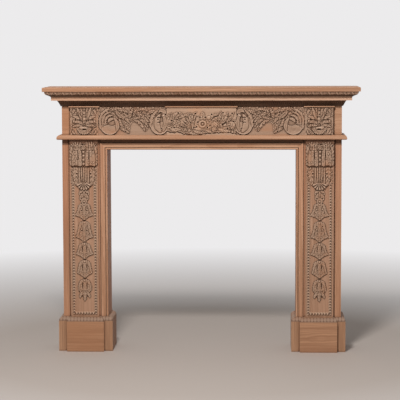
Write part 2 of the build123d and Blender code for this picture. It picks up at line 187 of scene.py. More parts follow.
leg_boxes = {side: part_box(f"leg_front_{side}") for side in ("left", "right")}
under_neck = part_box("neck_moulding_front")[0].z
for side, (low, high) in leg_boxes.items():
    middle = (low.x + high.x) / 2
    # The front board has a painted shadow just under the neck moulding.
    front_pine = pine(f"leg_pine_{side}", "Z", (middle + 0.03, high.y + 0.05),
                      pale=(204, 154, 121), dark=(152, 102, 73), patch=(184, 124, 92),
                      painted_shadow_under=under_neck)
    dress(front_pine, f"leg_front_{side}")
    side_pine = pine(f"leg_side_pine_{side}", "Z", (middle, high.y + 0.07),
                     pale=(186, 134, 100), dark=(132, 84, 56), patch=(160, 98, 66))
    dress(side_pine, f"leg_outer_side_{side}", f"leg_inner_side_{side}")

# Inside the legs: top blocks, spreaders and glue blocks of rough sawn, unfinished deal,
# and the coach screws that draw each leg up to the header.
raw_pine = pine("raw_pine", "X", (0.05, 0.55), pale=(214, 178, 134), dark=(172, 126, 84),
                patch=(198, 156, 110))
dress(raw_pine, "leg_top_blocks", "leg_spreaders")
raw_upright = pine("raw_upright_pine", "Z", (0.0, 0.2), pale=(210, 172, 128), dark=(168, 122, 82),
                   patch=(192, 150, 104))
dress(raw_upright, "glue_blocks")

steel, steel_tree, steel_shader = new_finish("zinc_plated_steel")
steel_shader.inputs["Metallic"].default_value = 1.0
steel_place = add(steel_tree, "ShaderNodeTexCoord").outputs["Object"]
steel_spots = noise(steel_tree, steel_place, 260.0, 4.0)
steel_tree.links.new(tint(steel_tree, steel_spots, paint(150, 148, 140), paint(190, 190, 186)),
                     steel_shader.inputs["Base Color"])
steel_tree.links.new(remap(steel_tree, steel_spots, 0.3, 0.7, 0.3, 0.5), steel_shader.inputs["Roughness"])
dress(steel, "leg_screws")

# Slips: a strip each side of the opening and one across its head, of straight pine with a bead
# run along its inner edge. They are mitred at the corners and pinned to the legs and the lintel.
for side in ("left", "right"):
    low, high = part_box(f"slip_{side}")
    dress(pine(f"slip_pine_{side}", "Z", (low.x + 0.02, high.y + 0.06), pale=(210, 162, 130),
               dark=(160, 112, 80), patch=(184, 128, 96)), f"slip_{side}")
low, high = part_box("slip_head")
# The head slip has a painted shadow just under the neck moulding.
dress(pine("slip_pine_head", "X", (high.y + 0.06, low.z + 0.04), pale=(212, 165, 132),
           dark=(160, 112, 80), patch=(186, 132, 98), painted_shadow_under=under_neck), "slip_head")

# Pilasters: a pine board planted on the front of each leg, its field sunk between two plain
# edges. The carved strips, the capital and the husk drop are glued on it.
for side in ("left", "right"):
    low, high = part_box(f"pilaster_board_{side}")
    # The pilaster board has a painted shadow just under the neck moulding.
    dress(pine(f"pilaster_pine_{side}", "Z", ((low.x + high.x) / 2 - 0.02, high.y + 0.045),
               pale=(198, 156, 128), dark=(150, 110, 84), patch=(186, 134, 104),
               painted_shadow_under=under_neck), f"pilaster_board_{side}")

# Pilaster borders: narrow carved strips of pearls between small leaves, in three lengths round
# the sunk field of each pilaster, mitred at the foot.
FADED = (146, 112, 90)


def limed(name, along="Z", pale=(176, 144, 120), dark=(74, 48, 31), warm=(178, 126, 92),
          peak=(204, 172, 148)):
    """Carved pine: greyer where the old lime wash stays, with painted shade in the cuts and pale worn high
    edges that also carry a painted highlight.
    """
    made, tree, shader = new_finish(name)
    place = grain_place(tree, along, (0.1, 0.2))
    cavity = add(tree, "ShaderNodeAttribute", attribute_name="cavity").outputs["Fac"]
    height = add(tree, "ShaderNodeAttribute", attribute_name="peak").outputs["Fac"]
    streaks = noise(tree, mapped(tree, place, (60, 60, 4)), 1.0, 4.0, 0.6)
    patches = noise(tree, mapped(tree, place, (13, 13, 6)), 1.0, 3.0)
    specks = noise(tree, place, 420.0, 3.0, 0.6)
    body = tint(tree, remap(tree, streaks, 0.4, 0.7, 0.0, 0.5), paint(*pale), paint(*FADED))
    body = tint(tree, remap(tree, patches, 0.5, 0.68, 0.0, 0.7), body, paint(*warm))
    # Pale wear and a painted highlight where the carving stands proud.
    body = tint(tree, remap(tree, height, 0.05, 0.9, 0.0, 0.65), body, paint(*peak))
    # Painted shade in the cuts, broken up by specks.
    depth = add(tree, "ShaderNodeMath", {0: cavity, 1: remap(tree, specks, 0.3, 0.7, 0.75, 1.2)},
                operation="MULTIPLY").outputs["Value"]
    body = tint(tree, remap(tree, depth, 0.04, 0.75, 0.0, 0.94), body, paint(*dark))
    tree.links.new(body, shader.inputs["Base Color"])
    tree.links.new(remap(tree, specks, 0.3, 0.7, 0.5, 0.72), shader.inputs["Roughness"])
    shader.inputs["Specular IOR Level"].default_value = 0.3
    bump = add(tree, "ShaderNodeBump", {"Height": noise(tree, mapped(tree, place, (300, 300, 60)), 1.0, 3.0),
                                        "Strength": 0.4, "Distance": 0.3 * MM})
    tree.links.new(bump.outputs["Normal"], shader.inputs["Normal"])
    return made


def set_marks(mesh, cavity, peak):
    """Keep how deep and how proud each point is, for the finish."""
    for name, values in (("cavity", cavity), ("peak", peak)):
        mesh.attributes.new(name, "FLOAT", "POINT").data.foreach_set("value", np.asarray(values, np.float32))


FULL_CUT = 1.6


def carved_tile(name, back, front, relief, pitch, cuts):
    """One repeat of a carved moulding: a section of plain back points and carved front points, all
    (out, up) in millimetres, drawn along X for one pitch. relief(s, t) is the carving's height."""
    front = np.array(front, float)
    along_face = np.gradient(front, axis=0)
    out = np.stack([along_face[:, 1], -along_face[:, 0]], 1)
    out /= np.linalg.norm(out, axis=1)[:, None]
    s = np.linspace(0, 1, len(front))
    points, cavity, peak = [], [], []
    for k in range(cuts + 1):
        heights = relief(s, np.full_like(s, k / cuts))
        section = np.vstack([front + out * heights[:, None], np.array(back, float)])
        for o, u in section:
            points.append((k * pitch / cuts * MM, -o * MM, u * MM))
        # Cut depth marks painted shade; height above the face marks pale wear with a painted highlight; the
        # back gets a little painted shade.
        cavity += list(np.clip(-heights / FULL_CUT, 0, 1)) + [0.2] * len(back)
        peak += list(np.clip(heights / FULL_CUT, 0, 1)) + [0.0] * len(back)
    count = len(front) + len(back)
    faces = []
    for k in range(cuts):
        for j in range(count):
            a, b = k * count + j, k * count + (j + 1) % count
            faces.append((a, b, b + count, a + count))
    mesh = bpy.data.meshes.new(name)
    mesh.from_pydata(points, [], faces)
    set_marks(mesh, cavity, peak)
    return bpy.data.objects.new(name, mesh)


SAME_PLACE = 0.02 * MM


def run_tree():
    """Geometry nodes that lay one tile after another along a line and join them."""
    tree = bpy.data.node_groups.new("carved_run", "GeometryNodeTree")
    kinds = {"Tile": "Object", "Count": "Int", "Start": "Vector", "Step": "Vector", "Turn": "Vector",
             "Finish": "Material"}
    for label, kind in kinds.items():
        tree.interface.new_socket(label, in_out="INPUT", socket_type=f"NodeSocket{kind}")
    tree.interface.new_socket("Geometry", in_out="OUTPUT", socket_type="NodeSocketGeometry")
    given = tree.nodes.new("NodeGroupInput").outputs
    line = add(tree, "GeometryNodeMeshLine", {"Count": given["Count"], "Start Location": given["Start"],
                                              "Offset": given["Step"]}, mode="OFFSET")
    tile = add(tree, "GeometryNodeObjectInfo", {"Object": given["Tile"]})
    turn = add(tree, "FunctionNodeEulerToRotation", {"Euler": given["Turn"]})
    laid = add(tree, "GeometryNodeInstanceOnPoints",
               {"Points": line.outputs["Mesh"], "Instance": tile.outputs["Geometry"],
                "Rotation": turn.outputs["Rotation"]})
    real = add(tree, "GeometryNodeRealizeInstances", {"Geometry": laid.outputs["Instances"]})
    joined = add(tree, "GeometryNodeMergeByDistance", {"Geometry": real.outputs["Geometry"],
                                                       "Distance": SAME_PLACE})
    painted = add(tree, "GeometryNodeSetMaterial", {"Geometry": joined.outputs["Geometry"],
                                                    "Material": given["Finish"]})
    add(tree, "NodeGroupOutput", {"Geometry": painted.outputs["Geometry"]})
    return tree


CARVED_RUN = run_tree()


def put(name, data):
    """A new object in the scene, at the origin."""
    thing = bpy.data.objects.new(name, data)
    bpy.context.scene.collection.objects.link(thing)
    return thing


def lay_run(tile, pitch, start, end, turn, finish, mitres=()):
    """A length of carved moulding as a bmesh, from start to end, cut by mitre planes and closed."""
    start, end = Vector(start), Vector(end)
    count = max(1, round((end - start).length / (pitch * MM)))
    step = (end - start) / count
    holder = put("run", bpy.data.meshes.new("run"))
    bpy.context.scene.collection.objects.link(tile)
    modifier = holder.modifiers.new("run", "NODES")
    modifier.node_group = CARVED_RUN
    values = {"Tile": tile, "Count": count, "Start": list(start), "Step": list(step), "Turn": list(turn),
              "Finish": finish}
    for item in CARVED_RUN.interface.items_tree:
        if item.in_out == "INPUT":
            modifier[item.identifier] = values[item.name]
    stretch = step.length / (pitch * MM)
    graph = bpy.context.evaluated_depsgraph_get()
    made = bpy.data.meshes.new_from_object(holder.evaluated_get(graph))
    bpy.data.objects.remove(holder)
    bpy.context.scene.collection.objects.unlink(tile)
    run = bmesh.new()
    run.from_mesh(made)
    way = step.normalized()
    for vert in run.verts:
        along = (vert.co - start).dot(way)
        piece = min(count - 1, max(0, round((along - pitch * MM / 2) / step.length)))
        inside = along - piece * step.length
        vert.co += way * inside * (stretch - 1)
    bmesh.ops.remove_doubles(run, verts=run.verts, dist=0.3 * MM * abs(stretch - 1) + SAME_PLACE)
    for point, side in mitres:
        everything = run.verts[:] + run.edges[:] + run.faces[:]
        bmesh.ops.bisect_plane(run, geom=everything, plane_co=Vector(point), plane_no=Vector(side),
                               clear_outer=True)
    bmesh.ops.holes_fill(run, edges=[e for e in run.edges if e.is_boundary])
    bmesh.ops.recalc_face_normals(run, faces=run.faces)
    return run


def carved_piece(name, mesh, finish, node, crease=75):
    """A carving in its place, riding on the part and standing for its CAD node. Its faces meet
    softly up to the crease, in degrees, but the cut ends stay flat."""
    mesh.materials.clear()
    mesh.materials.append(finish)
    mesh.polygons.foreach_set("material_index", [0] * len(mesh.polygons))
    mesh.polygons.foreach_set("use_smooth", [len(face.vertices) < 5 for face in mesh.polygons])
    mesh.set_sharp_from_angle(angle=math.radians(crease))
    piece = put(name, mesh)
    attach(piece, "root")
    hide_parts(node)


def carved_lengths(name, runs, finish, node):
    """One carved piece from its mitred lengths."""
    whole = bmesh.new()
    for run in runs:
        loose = bpy.data.meshes.new("loose")
        run.to_mesh(loose)
        run.free()
        whole.from_mesh(loose)
        bpy.data.meshes.remove(loose)
    mesh = bpy.data.meshes.new(name)
    whole.to_mesh(mesh)
    whole.free()
    carved_piece(name, mesh, finish, node, crease=50)


BORDER_WIDTH = 16.0
BORDER_RISE = 3.6
PEARL_PITCH = 13.4


def pearls_and_leaves(s, t):
    """Heights of the border: a pearl, then two leaflets that part from it."""
    across, along = (s - 0.5) * 2, t - 0.5
    pearl = 2.6 * np.sqrt(np.clip(1 - (across / 0.42) ** 2 - (along / 0.25) ** 2, 0, 1))
    wave = np.cos(2 * np.pi * (along - 0.28 * np.abs(across)))
    leaflets = np.where(np.abs(across) > 0.35, 0.9 * np.clip(-wave, 0, 1), 0)
    cut = -2.1 * np.clip(1 - np.abs(np.abs(along) - 0.36) / 0.15, 0, 1) * (np.abs(across) < 0.66)
    return np.maximum(pearl, leaflets) + cut * (pearl <= 0)


carved_border_pine = limed("carved_border_pine", pale=(182, 148, 122), dark=(64, 41, 26),
                           peak=(222, 190, 166))
UNDER_TIER = 74 * MM
border_face = [(BORDER_RISE * math.sin(math.pi * k / 12) ** 0.6 + 0.4, BORDER_WIDTH * (k / 12 - 0.5))
               for k in range(13)]
border_tile = carved_tile("border_tile", [(0, BORDER_WIDTH / 2), (0, -BORDER_WIDTH / 2)], border_face,
                          pearls_and_leaves, PEARL_PITCH, 10)
for side in ("left", "right"):
    low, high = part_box(f"pilaster_border_{side}")
    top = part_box(f"husk_drop_{side}")[1].z - UNDER_TIER
    half = BORDER_WIDTH / 2 * MM
    upright = (0, -math.pi / 2, 0)
    corner = {"left": Vector((low.x, high.y, low.z)), "right": Vector((high.x, high.y, low.z))}
    runs = [
        lay_run(border_tile, PEARL_PITCH, (low.x + half, high.y, low.z), (low.x + half, high.y, top),
                upright, carved_border_pine, [(corner["left"], (1, 0, -1))]),
        lay_run(border_tile, PEARL_PITCH, (high.x - half, high.y, low.z), (high.x - half, high.y, top),
                upright, carved_border_pine, [(corner["right"], (-1, 0, -1))]),
        lay_run(border_tile, PEARL_PITCH, (low.x, high.y, low.z + half), (high.x, high.y, low.z + half),
                (0, 0, 0), carved_border_pine,
                [(corner["left"], (-1, 0, 1)), (corner["right"], (1, 0, 1))]),
    ]
    carved_lengths(f"carved_border_{side}", runs, carved_border_pine, f"pilaster_border_{side}")


# Capitals: a spray of acanthus on each pilaster, carved from one glued-on block: broad leaves each
# side of a row of pearls, serrated leaves up the edges, and tips that curl over at the top.
LEAF_EDGE = 1.5
EDGE_CUT = 3.2
CLOSE_BY, WIDER = 3, 8
# How deep below its surroundings a point must be for full painted shade, and how proud for full wear and
# painted highlight.
DARK_CLOSE, DARK_WIDER, WORN_AND_HIGHLIT_PEAK = 3.6, 9, 2.4


def bend(*points, count=20):
    """A smooth way from the first of its points to the last, drawn towards those between."""
    t = np.linspace(0, 1, count)[:, None]
    layers = [np.repeat(np.array([point], float), count, 0) for point in points]
    while len(layers) > 1:
        layers = [(1 - t) * a + t * b for a, b in zip(layers[:-1], layers[1:])]
    return layers[0]


def spread_out(heights, reach):
    """Heights averaged over a square of this many steps, three times over."""
    for _ in range(3):
        for axis in (0, 1):
            padded = np.pad(heights, [(reach + 1, reach) if a == axis else (0, 0) for a in (0, 1)],
                            "edge")
            total = np.cumsum(padded, axis)
            size = heights.shape[axis]
            width = 2 * reach + 1
            heights = (np.take(total, range(width, width + size), axis)
                       - np.take(total, range(size), axis)) / width
    return heights


class Carving:
    """A carved face: heights in millimetres above its back, over a fine grid."""

    def __init__(self, width, height, ground, step=1.0, cut=EDGE_CUT):
        self.x = np.linspace(0, width, round(width / step) + 1)
        self.z = np.linspace(0, height, round(height / step) + 1)
        self.X, self.Z = np.meshgrid(self.x, self.z)
        self.ground, self.cut = ground, cut
        self.H = np.full(self.X.shape, float(ground))
        self.middle = width / 2

    def at(self, side, *places):
        """Places on one half of the face, given as sideways from its middle and up. side is 1 or -1."""
        return [(self.middle + side * x, z) for x, z in places]

    def near(self, way, reach):
        """The window of the grid round a way of points, each place's distance from it, and its share
        of the way along."""
        way = np.array(way, float)
        low, high = way.min(0) - reach, way.max(0) + reach
        window = (slice(*np.searchsorted(self.z, (low[1], high[1]))),
                  slice(*np.searchsorted(self.x, (low[0], high[0]))))
        X, Z = self.X[window], self.Z[window]
        best, share = np.full(X.shape, np.inf), np.zeros(X.shape)
        for k, (a, b) in enumerate(zip(way[:-1], way[1:])):
            run = b - a
            u = np.clip(((X - a[0]) * run[0] + (Z - a[1]) * run[1]) / (run @ run), 0, 1)
            far = np.hypot(X - a[0] - u * run[0], Z - a[1] - u * run[1])
            share = np.where(far < best, (k + u) / (len(way) - 1), share)
            best = np.minimum(far, best)
        return window, best, share

    def near_place(self, x, z, radius):
        """The window of the grid round a place, and each point's distance and angle from it."""
        window, far, _ = self.near([(x - 0.01, z), (x + 0.01, z)], radius + 2 * LEAF_EDGE)
        return window, far, np.arctan2(self.Z[window] - z, self.X[window] - x)

    def lay(self, window, height, inside, rim):
        """Set a form on the face and cut back what stands round its edge."""
        area = self.H[window]
        cut = rim & ~inside
        area[cut] = np.maximum(area[cut] - self.cut, self.ground)
        area[inside] = np.maximum(area[inside] - self.cut, self.ground + height[inside])

    def leaf(self, points, half, rise, lobes=0, vein=0.34, base=0.5):
        """A leaf along a bend: round at its root, pointed at its tip, with a midrib and lobes."""
        window, far, t = self.near(bend(*points), half + 2 * LEAF_EDGE)
        width = half * np.minimum(1, base + 2.2 * t) * np.sqrt(np.clip(1 - t ** 2.8, 0, 1))
        if lobes:
            width = width * (1 - 0.4 * (0.5 + 0.5 * np.cos(2 * np.pi * lobes * t)) ** 2)
        q = far / np.maximum(width, 0.05)
        height = rise * (0.4 + 0.6 * np.sqrt(np.clip(1 - q * q, 0, 1)))
        height -= vein * rise * np.exp(-(q / 0.2) ** 2)
        if lobes:
            fold = 0.5 + 0.5 * np.cos(2 * np.pi * (lobes * t - 0.7 * q))
            height -= 0.32 * rise * fold * np.clip(q * 2.5, 0, 1)
            height -= 0.6 * rise * fold ** 6 * np.exp(-((q - 0.85) / 0.25) ** 2)
        self.lay(window, height, q < 1, far < width + LEAF_EDGE)

    def disc(self, x, z, radius, shape):
        """A round form whose height is given by its share of the radius and its angle."""
        window, far, angle = self.near_place(x, z, radius)
        q = far / radius
        self.lay(window, shape(np.minimum(q, 1), angle), q < 1, far < radius + LEAF_EDGE)

    def pearl(self, x, z, radius, rise):
        """A round bead."""
        self.disc(x, z, radius, lambda q, a: rise * (0.25 + 0.75 * np.sqrt(1 - q * q)))

    def rosette(self, x, z, radius, rise, petals):
        """A flower: petals round a small eye."""
        def shape(q, a):
            petal = np.abs(np.cos(petals * a / 2)) ** 0.5
            cupped = (0.35 + 0.65 * petal) * (0.6 + 0.4 * np.sin(np.pi * q))
            return rise * np.where(q < 0.3, 0.95 - q, cupped)
        self.disc(x, z, radius, shape)

    def target(self, x, z, radius, rise, rings):
        """Round ridges one inside the other."""
        self.disc(x, z, radius,
                  lambda q, a: rise * (0.5 + 0.5 * np.cos(2 * np.pi * rings * q) * (1 - 0.3 * q)))

    def fan(self, x, z, radius, first, last, ribs, rise):
        """A shell: ribs that spread from its middle, with a scalloped rim."""
        window, far, angle = self.near_place(x, z, radius)
        share = np.mod(angle - first, 2 * np.pi) / (last - first)
        rib = np.abs(np.sin(np.pi * ribs * np.clip(share, 0, 1)))
        q = far / radius
        height = rise * (0.45 + 0.4 * rib ** 0.7 + 0.15 * q)
        inside = (share <= 1) & (q < 0.9 + 0.1 * rib)
        self.lay(window, height, inside, (far < radius + LEAF_EDGE) & (share < 1))

    def crescent(self, x, z, radius, rise, inner_x, inner_z, inner_radius):
        """The smooth bowl of a scroll: a dished moon round an opening."""
        window, far, _ = self.near_place(x, z, radius)
        hollow = np.hypot(self.X[window] - inner_x, self.Z[window] - inner_z) / inner_radius
        q = far / radius
        height = rise * (0.62 + 0.38 * q ** 3 + 0.2 * np.exp(-((hollow - 1.06) / 0.06) ** 2))
        self.lay(window, height, (q < 1) & (hollow > 1), (q < 1 + LEAF_EDGE / radius) | (hollow < 1))

    def band(self, left, right, foot, top, height):
        """A plain raised or sunk strip."""
        inside = (self.X >= left) & (self.X <= right) & (self.Z >= foot) & (self.Z <= top)
        self.H[inside] = height

    def drill(self, *holes, radius=2.6):
        """Small deep holes, which a carver drills to free the leaves."""
        for x, z in holes:
            far = np.hypot(self.X - x, self.Z - z) / radius
            self.H = np.minimum(self.H, self.ground * 0.3 + 14 * far ** 5)

    def slit(self, points, half):
        """A deep narrow cut along a bend."""
        window, far, t = self.near(bend(*points), half + 3)
        width = half * np.sqrt(np.sin(np.pi * np.clip(t, 0.02, 0.98)))
        self.H[window] = np.minimum(self.H[window], self.ground * 0.4 + 12 * (far / width) ** 4)

    def fill(self, foot, top, height):
        """The mass that the forms are cut from, between two outlines given as (x, z) points."""
        low = np.interp(self.X, *zip(*foot)) if isinstance(foot, list) else foot
        high = np.interp(self.X, *zip(*top)) if isinstance(top, list) else top
        inside = (self.Z > low) & (self.Z < high)
        self.H[inside] = np.maximum(self.H[inside], self.ground + height)

    def ruffle(self, seed, count, lean, half=4.2, length=13):
        """Small curled leaves cut over the forms, so that no wide face is left smooth."""
        rng = np.random.default_rng(seed)
        for _ in range(count):
            x, z, turn = rng.uniform(0, self.x[-1]), rng.uniform(0, self.z[-1]), rng.uniform(-lean, lean)
            reach = (length * math.sin(turn), length * math.cos(turn))
            way = bend((x, z), (x + 0.7 * reach[0] + 2, z + 0.4 * reach[1]), (x + reach[0], z + reach[1]),
                       count=6)
            window, far, t = self.near(way, half + LEAF_EDGE)
            width = half * np.sqrt(np.sin(np.pi * np.clip(t, 0.04, 0.96)))
            lift = np.where(far < width, 1.7 * np.sqrt(np.clip(1 - (far / width) ** 2, 0, 1)) - 0.3,
                            -1.6 * (far < width + LEAF_EDGE))
            self.H[window] += lift * (self.H[window] > self.ground + 1.2)

    def edged(self, least=0.5, rim=3):
        """Where there is wood to keep: the forms and a thin cut line round them."""
        forms = self.H > least
        wide = forms.copy()
        for _ in range(rim):
            padded = np.pad(wide, 1)
            wide = (padded[1:-1, 1:-1] | padded[2:, 1:-1] | padded[:-2, 1:-1] | padded[1:-1, 2:]
                    | padded[1:-1, :-2])
        self.H[wide & ~forms] = 0.3
        return wide

    def by_hand(self, seed, amount=0.35):
        """The slight unevenness of hand work."""
        rough = spread_out(np.random.default_rng(seed).normal(size=self.H.shape), 3)
        carved = np.clip((self.H - self.ground) / 2, 0.15, 1)
        self.H += amount * rough / rough.std() * carved

    def solid(self, name, corner, across=1, kept=None):
        """The carving as a closed mesh with its back at the corner. across is -1 for a mirror image.
        It is marked for painted shade where it lies under the wood round it, and for pale wear with a painted
        highlight where it stands above."""
        step = self.x[1]
        close, wider = (spread_out(self.H, round(span / step)) for span in (CLOSE_BY, WIDER))
        # Painted shade below the surroundings at two reaches; pale wear and a painted highlight above them.
        cavity = np.clip((close - self.H) / DARK_CLOSE, 0, 1) + np.clip((wider - self.H) / DARK_WIDER, 0, 1)
        peak = np.clip((self.H - close) / WORN_AND_HIGHLIT_PEAK, 0, 1)
        rows, cols = self.H.shape
        front = np.stack([corner[0] + across * self.X * MM, corner[1] - self.H * MM,
                          corner[2] + self.Z * MM], -1).reshape(-1, 3)
        back = front.copy()
        back[:, 1] = corner[1]
        place = np.arange(rows * cols).reshape(rows, cols)
        a, b, c, d = place[:-1, :-1], place[:-1, 1:], place[1:, 1:], place[1:, :-1]
        used = np.ones(a.shape, bool)
        if kept is not None:
            used = kept[:-1, :-1] & kept[:-1, 1:] & kept[1:, 1:] & kept[1:, :-1]
        behind = rows * cols
        quads = [np.stack([a, b, c, d], -1)[used], np.stack([d, c, b, a], -1)[used] + behind]
        open_to = np.pad(used, 1)
        for (p, q), beside in (((a, b), open_to[:-2, 1:-1]), ((b, c), open_to[1:-1, 2:]),
                               ((c, d), open_to[2:, 1:-1]), ((d, a), open_to[1:-1, :-2])):
            edge = used & ~beside
            quads.append(np.stack([q, p, p + behind, q + behind], -1)[edge])
        quads = np.concatenate(quads)
        if across < 0:
            quads = quads[:, ::-1]
        kept_points, index = np.unique(quads, return_inverse=True)
        points = np.concatenate([front, back])[kept_points]
        mesh = bpy.data.meshes.new(name)
        mesh.from_pydata(points.tolist(), [], index.reshape(-1, 4).tolist())
        deep = np.concatenate([cavity.ravel(), np.full(behind, 0.3)])[kept_points]
        proud = np.concatenate([peak.ravel(), np.zeros(behind)])[kept_points]
        set_marks(mesh, np.clip(deep, 0, 1), proud)
        return mesh


def place_pair(name, node, carving, finish, kept=None):
    """The carving on the left of the surround, and its mirror image on the right."""
    for side, across in (("left", 1), ("right", -1)):
        low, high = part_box(f"{node}_{side}")
        width = carving.x[-1] * MM
        middle = (low.x + high.x) / 2
        corner = (middle - across * width / 2, high.y, high.z - carving.z[-1] * MM)
        carved_piece(f"{name}_{side}", carving.solid(f"{name}_{side}", corner, across, kept), finish,
                     f"{node}_{side}")


capital = Carving(136, 120, 4.0)
capital.band(2, 134, 3, 100, 6.5)
for side in (-1, 1):
    capital.leaf(capital.at(side, (57, -4), (66, 50), (54, 104)), 12, 6.0, 6)
    capital.leaf(capital.at(side, (40, -6), (46, 50), (34, 112)), 16, 7.6,
                 vein=0.12, base=0.9)
    capital.leaf(capital.at(side, (16, -6), (19, 50), (20, 116)), 10, 7.4,
                 vein=0.15, base=0.9)
    for root, tip, top in ((44, 64, 108), (42, 52, 116), (38, 40, 120), (31, 27, 119), (12, 15, 119),
                           (8, 5, 113)):
        capital.leaf(capital.at(side, (root, 80), (root, 102), (tip, top)),
                     6.5, 8.6, 2, base=0.8)
    capital.slit(capital.at(side, (23, 32), (27, 56), (27, 82)), 2.4)
    capital.drill(*capital.at(side, (65, 62), (65, 46), (65, 30), (48, 99), (27, 100)), radius=2.8)
capital.leaf(capital.at(1, (0, 78), (1, 96), (0, 112)), 10, 7.6, 3)
capital.band(capital.middle - 8, capital.middle + 8, 2, 80, 5.5)
for z in (12, 32, 51, 70):
    capital.pearl(capital.middle, z, 6.5, 7.4)
capital.ruffle(2, 50, 0.7)
capital.drill((capital.middle - 4, 106), radius=4)
capital.by_hand(3)
carved_pine = limed("carved_pine")
place_pair("capital_carving_leaves", "capital_carving", capital, carved_pine,
           ((capital.Z < 104) | (capital.H > 6.2)) & (capital.Z > 6 * np.abs(np.cos(np.pi * capital.X / 34))))

# Husk drops: an upturned tier of leaves over a ribbed shell, then a string of bellflowers that
# hang down the sunk field. It is carved in one length and glued on.
DROP_WIDTH, DROP_LENGTH = 128, 653
drop = Carving(DROP_WIDTH, DROP_LENGTH, 0.0, 1.25, cut=1.9)


def down(offset, depth):
    """A place on the drop: sideways from its middle, and down from its top."""
    return drop.middle + offset, DROP_LENGTH - depth


def bellflower(top, tip, spread, slits):
    """A husk: two flared petals, a pointed one between them, and a pearl at the neck."""
    wing = tip - 25
    half_way = (top + wing) / 2
    depth = DROP_LENGTH - drop.Z
    sides = np.interp(depth, (top, top + 12, half_way, wing - 12, wing, wing + 3, wing + 8, wing + 16, tip),
                      (9, 16, 24, 29, spread, spread - 4, 24, 12, 4))
    across = np.abs(drop.X - drop.middle) / sides
    body = (across < 1) & (depth > top) & (depth < tip)
    drop.H[body] = np.maximum(drop.H[body], (5.6 + 1.8 * np.sqrt(np.clip(1 - across ** 2, 0, 1)))[body])
    for side in (-1, 1):
        drop.leaf([down(side * 17, top + 8), down(side * 26, half_way), down(side * 27, wing - 4),
                       down(side * spread, wing + 1)], 9, 8.2, 3, base=0.7)
        drop.leaf([down(side * 9, half_way - 8), down(side * 20, wing - 12), down(side * 22, wing + 8)], 8,
                  8.8, 3)
    drop.leaf([down(0, half_way - 22), down(0, wing), down(0, tip)], 10, 9.6, 3, base=0.8)
    for side in (-1, 1):
        drop.pearl(*down(side * 8, wing + 2), 4, 9.4)
        if slits:
            drop.slit([down(side * 11, half_way - 14), down(side * 12, half_way + 18)], 2.4)
        else:
            drop.drill(down(side * 14, half_way - 14), down(side * 13, half_way + 8), radius=3.4)
            drop.drill(down(side * 21, wing - 10), radius=2.6)
    drop.pearl(*down(0, top + 8), 6, 9.0)
    drop.pearl(*down(0, tip - 5), 4.5, 8.6)


tier_foot = [(0, DROP_LENGTH - 74), (10, DROP_LENGTH - 78), (36, DROP_LENGTH - 90), (92, DROP_LENGTH - 90),
             (118, DROP_LENGTH - 78), (128, DROP_LENGTH - 74)]
drop.fill(tier_foot, float(DROP_LENGTH + 1), 7.0)
for side in (-1, 1):
    drop.leaf([down(side * 57, -4), down(side * 62, 36), down(side * 56, 76)], 9, 9.4, 6, base=0.9)
    drop.leaf([down(side * 34, -6), down(side * 50, 36), down(side * 32, 90)], 21, 10.6, 5, base=0.9)
    drop.leaf([down(side * 22, -4), down(side * 20, 40), down(side * 24, 84)], 5, 10.2, vein=0.1, base=0.9)
for offset in (-11, 0, 11):
    drop.leaf([down(offset, -4), down(offset, 40), down(offset * 0.8, 74)], 5, 9.8, vein=0.0, base=0.9)
drop.ruffle(4, 110, 0.6)
drop.fan(*down(0, 74), 36, math.radians(190), math.radians(350), 7, 13.0)
for k in range(1, 7):
    turn = math.radians(190 + 160 * k / 7)
    drop.slit([down(12 * math.cos(turn), 74 - 12 * math.sin(turn)),
               down(34 * math.cos(turn), 74 - 34 * math.sin(turn))], 2.3)
for side in (-1, 1):
    drop.drill(down(side * 34, 30), down(side * 36, 46), radius=3.6)
    drop.drill(down(side * 60, 22), down(side * 60, 42), down(side * 13, 70), radius=3)
below = DROP_LENGTH - drop.Z
sprig = (np.abs(drop.X - drop.middle) < 22 - 0.13 * (below - 106)) & (below > 113) & (below < 172)
drop.H[sprig] = np.maximum(drop.H[sprig], 5.0)
for side in (-1, 1):
    drop.leaf([down(side * 3, 115), down(side * 21, 116), down(side * 21, 136)], 9, 7.6, 3)
    drop.leaf([down(side * 2, 134), down(side * 18, 136), down(side * 18, 160)], 10, 8.2, 3)
    drop.drill(down(side * 17, 128), down(side * 14, 151), radius=3.8)
    drop.pearl(*down(side * 8, 144), 4, 8.8)
drop.leaf([down(0, 114), down(0, 128), down(0, 148)], 6.5, 8.0, 2)
drop.pearl(*down(0, 166), 6, 9.0)
for top, tip, spread, slits in ((172, 257, 46, False), (262, 363, 43, False), (367, 447, 43, True),
                                (452, 540, 37, True)):
    bellflower(top, tip, spread, slits)
bellflower(546, 628, 29, True)
for side in (-1, 1):
    drop.leaf([down(side * 3, 608), down(side * 20, 616), down(side * 25, 638)], 10, 8.0, 3)
drop.leaf([down(0, 606), down(0, 630), down(0, 653)], 12, 8.8, 3)
drop.by_hand(5)
place_pair("husk_drop_flowers", "husk_drop", drop, carved_pine, drop.edged())

# Plinths: boards round the foot of each leg, with a proud block in front whose grain runs across,
# and a carved leaf moulding mitred round the top.
for side in ("left", "right"):
    low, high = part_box(f"plinth_front_{side}")
    middle = (low.x + high.x) / 2
    dress(pine(f"plinth_wing_pine_{side}", "Z", (middle - 0.04, high.y + 0.05), pale=(192, 148, 116),
               dark=(144, 104, 76), patch=(168, 124, 94)), f"plinth_front_{side}")
    dress(pine(f"plinth_side_pine_{side}", "Z", (middle, high.y + 0.2), pale=(160, 116, 88),
               dark=(110, 72, 48), patch=(132, 88, 62)),
          f"plinth_outer_side_{side}", f"plinth_inner_side_{side}")
    low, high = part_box(f"plinth_block_{side}")
    dress(pine(f"plinth_block_pine_{side}", "X", (high.y + 0.05, (low.z + high.z) / 2 + 0.01),
               pale=(196, 148, 114), dark=(146, 102, 74), patch=(176, 126, 92)), f"plinth_block_{side}")


